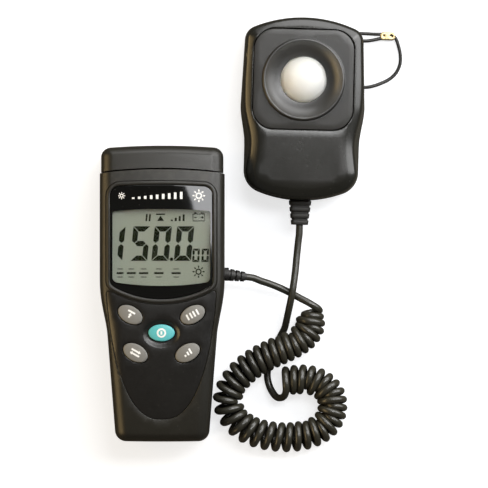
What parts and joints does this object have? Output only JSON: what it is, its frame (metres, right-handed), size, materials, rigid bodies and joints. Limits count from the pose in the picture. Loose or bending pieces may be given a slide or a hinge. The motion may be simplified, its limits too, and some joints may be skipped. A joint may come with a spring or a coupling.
{
  "type": "lux meter",
  "caption": "Hand-held light meter with an arched, tapering housing, a display, push keys and a separate domed light detector on a curly cord.",
  "frame": {"origin": "middle of the meter's back, on the surface that the meter and the detector lie on", "axes": "+X to the right of the face, +Y towards the head end, +Z out of the face, up when it lies on its back"},
  "size_m": [0.1327, 0.191, 0.038],
  "materials": {
    "shell": "satin, finely grained charcoal",
    "panel": "smooth satin",
    "keys": "satin warm grey with white pictograms",
    "power": "satin teal",
    "window": "clear acrylic, black printed border",
    "display": "grey-green liquid crystal display",
    "inner_black": "plain",
    "soft_black": "matt",
    "connector": "layered elastomer",
    "board": "solder mask",
    "steel": "plated",
    "battery": "plain film",
    "dome": "frosted white",
    "filter": "polished",
    "cord": "soft sheen",
    "brass": "crimped"
  },
  "bodies": {
    "meter": {"front_shell": "shell", "rear_shell": "shell", "head_cap": "shell", "window": "window", "window_gasket": "soft_black", "key_panel": "panel", "keypad_mat": "soft_black", "lcd": "display", "lcd_frame": "inner_black", "lcd_connectors": "connector", "main_board": "board", "board_chips": "inner_black", "board_screws": "steel", "battery": "battery", "battery_snap": "inner_black", "case_screws": "steel", "meter_sleeve": "soft_black", "meter_lead": "cord", "curly_cord": "cord", "probe_lead": "cord"},
    "max_key": {"max_key": "keys"},
    "hold_key": {"hold_key": "keys"},
    "unit_key": {"unit_key": "keys"},
    "range_key": {"range_key": "keys"},
    "power_key": {"power_key": "power"},
    "battery_door": {"battery_door": "shell"},
    "probe": {"probe_front_shell": "shell", "probe_rear_shell": "shell", "detector_bezel": "shell", "diffuser_dome": "dome", "colour_filter": "filter", "filter_holder": "inner_black", "photodiode": "steel", "detector_board": "board", "probe_screws": "steel", "probe_sleeve": "soft_black", "tether_cord": "cord", "tether_tail": "cord", "tether_crimp": "brass"}
  },
  "joints": [
    {"name": "max_press", "type": "slide", "parent": "meter", "child": "max_key", "axis": [0, 0, -1], "range_m": [0, 0.001], "stiffness_N_per_m": 300, "springref_m": -0.0005, "deforming": ["keypad_mat"]},
    {"name": "hold_press", "type": "slide", "parent": "meter", "child": "hold_key", "axis": [0, 0, -1], "range_m": [0, 0.001], "stiffness_N_per_m": 300, "springref_m": -0.0005, "deforming": ["keypad_mat"]},
    {"name": "unit_press", "type": "slide", "parent": "meter", "child": "unit_key", "axis": [0, 0, -1], "range_m": [0, 0.001], "stiffness_N_per_m": 300, "springref_m": -0.0005, "deforming": ["keypad_mat"]},
    {"name": "range_press", "type": "slide", "parent": "meter", "child": "range_key", "axis": [0, 0, -1], "range_m": [0, 0.001], "stiffness_N_per_m": 300, "springref_m": -0.0005, "deforming": ["keypad_mat"]},
    {"name": "power_press", "type": "slide", "parent": "meter", "child": "power_key", "axis": [0, 0, -1], "range_m": [0, 0.001], "stiffness_N_per_m": 300, "springref_m": -0.0005, "deforming": ["keypad_mat"]},
    {"name": "door_slide", "type": "slide", "parent": "meter", "child": "battery_door", "axis": [0, -1, 0], "range_m": [0, 0.055]},
    {"name": "probe_lift", "type": "slide", "parent": "meter", "child": "probe", "axis": [0, 0, 1], "range_m": [0, 0.06], "deforming": ["probe_lead"]}
  ]
}
